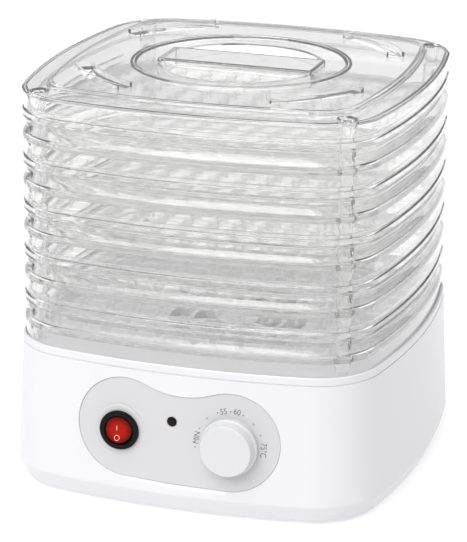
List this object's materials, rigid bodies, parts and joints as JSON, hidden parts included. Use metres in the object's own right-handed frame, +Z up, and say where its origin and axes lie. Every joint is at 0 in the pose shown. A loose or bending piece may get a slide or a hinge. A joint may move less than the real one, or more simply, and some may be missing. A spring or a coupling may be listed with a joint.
{
  "type": "food dehydrator",
  "caption": "Square countertop food dehydrator with a fan-heater base, a rocker switch, a temperature knob, clear stacking trays and a clear lid with a handle bar.",
  "frame": {"origin": "on the surface that the feet stand on, at the centre of the whole object's box, which is on the axis of the fan and the stack", "axes": "+Z up along the stack, -Y towards the user and out of the control panel, +X to the user's right"},
  "size_m": [0.236, 0.2484, 0.2421],
  "materials": {
    "white_plastic": "smooth satin-gloss white moulding",
    "panel_grey": "light grey satin insert with grey dial print",
    "black_plastic": "black moulded plastic",
    "switch_red": "translucent red gloss",
    "lens_smoke": "dark smoke lens",
    "lamp_glass": "small neon lamp",
    "rubber": "grey soft rubber",
    "zinc_steel": "zinc-plated steel",
    "tunnel_sheet": "rolled sheet",
    "copper_coil": "taped winding, copper",
    "bronze_bush": "sintered bronze",
    "core_steel": "stamped laminations",
    "cast_zinc": "die casting",
    "mica": "pressed mica board",
    "heating_wire": "resistance wire",
    "thermoset": "brown thermoset",
    "clear_plastic": "clear polystyrene"
  },
  "bodies": {
    "base": {"base_housing": "white_plastic", "bottom_cover": "white_plastic", "control_panel": "panel_grey", "switch_body": "black_plastic", "indicator_lens": "lens_smoke", "indicator_lamp": "lamp_glass", "thermostat_body": "thermoset", "thermostat_nut": "zinc_steel", "outlet_grille": "white_plastic", "fan_duct": "tunnel_sheet", "heater_board_wide": "mica", "heater_board_deep": "mica", "heater_coil": "heating_wire", "thermal_fuse": "thermoset", "motor_core": "core_steel", "motor_coil": "copper_coil", "bearing_bracket_top": "cast_zinc", "bearing_bracket_bottom": "cast_zinc", "bearing_top": "bronze_bush", "bearing_bottom": "bronze_bush", "motor_mount": "zinc_steel", "terminal_block": "white_plastic", "cord_gland": "black_plastic", "motor_screw_left": "zinc_steel", "motor_nut_left": "zinc_steel", "mount_screw_left": "zinc_steel", "motor_screw_right": "zinc_steel", "motor_nut_right": "zinc_steel", "mount_screw_right": "zinc_steel", "cover_screw_1": "zinc_steel", "cover_screw_2": "zinc_steel", "cover_screw_3": "zinc_steel", "cover_screw_4": "zinc_steel", "duct_screw_1": "zinc_steel", "duct_screw_2": "zinc_steel", "duct_screw_3": "zinc_steel", "foot_front_left": "rubber", "foot_front_right": "rubber", "foot_rear_left": "rubber", "foot_rear_right": "rubber"},
    "fan_rotor": {"fan_impeller": "tunnel_sheet", "motor_rotor": "core_steel", "motor_shaft": "zinc_steel"},
    "knob": {"temperature_knob": "white_plastic", "thermostat_spindle": "zinc_steel"},
    "rocker": {"rocker_button": "switch_red"},
    "tray_1": {"tray_1": "clear_plastic"},
    "tray_2": {"tray_2": "clear_plastic"},
    "tray_3": {"tray_3": "clear_plastic"},
    "tray_4": {"tray_4": "clear_plastic"},
    "tray_5": {"tray_5": "clear_plastic"},
    "lid": {"lid": "clear_plastic"}
  },
  "joints": [
    {"name": "fan_spin", "type": "hinge", "parent": "base", "child": "fan_rotor", "pos_m": [0, 0, 0.053], "axis": [0, 0, 1], "continuous": true},
    {"name": "knob_turn", "type": "hinge", "parent": "base", "child": "knob", "pos_m": [0.0326, -0.1162, 0.045], "axis": [0, 1, 0], "range_deg": [0, 250]},
    {"name": "rocker_tilt", "type": "hinge", "parent": "base", "child": "rocker", "pos_m": [-0.0335, -0.1135, 0.047], "axis": [1, 0, 0], "range_deg": [0, 14]},
    {"name": "tray_1_lift", "type": "slide", "parent": "base", "child": "tray_1", "axis": [0, 0, 1], "range_m": [0, 0.06]},
    {"name": "tray_2_lift", "type": "slide", "parent": "tray_1", "child": "tray_2", "axis": [0, 0, 1], "range_m": [0, 0.06]},
    {"name": "tray_3_lift", "type": "slide", "parent": "tray_2", "child": "tray_3", "axis": [0, 0, 1], "range_m": [0, 0.06]},
    {"name": "tray_4_lift", "type": "slide", "parent": "tray_3", "child": "tray_4", "axis": [0, 0, 1], "range_m": [0, 0.06]},
    {"name": "tray_5_lift", "type": "slide", "parent": "tray_4", "child": "tray_5", "axis": [0, 0, 1], "range_m": [0, 0.06]},
    {"name": "lid_lift", "type": "slide", "parent": "tray_5", "child": "lid", "axis": [0, 0, 1], "range_m": [0, 0.08]}
  ]
}
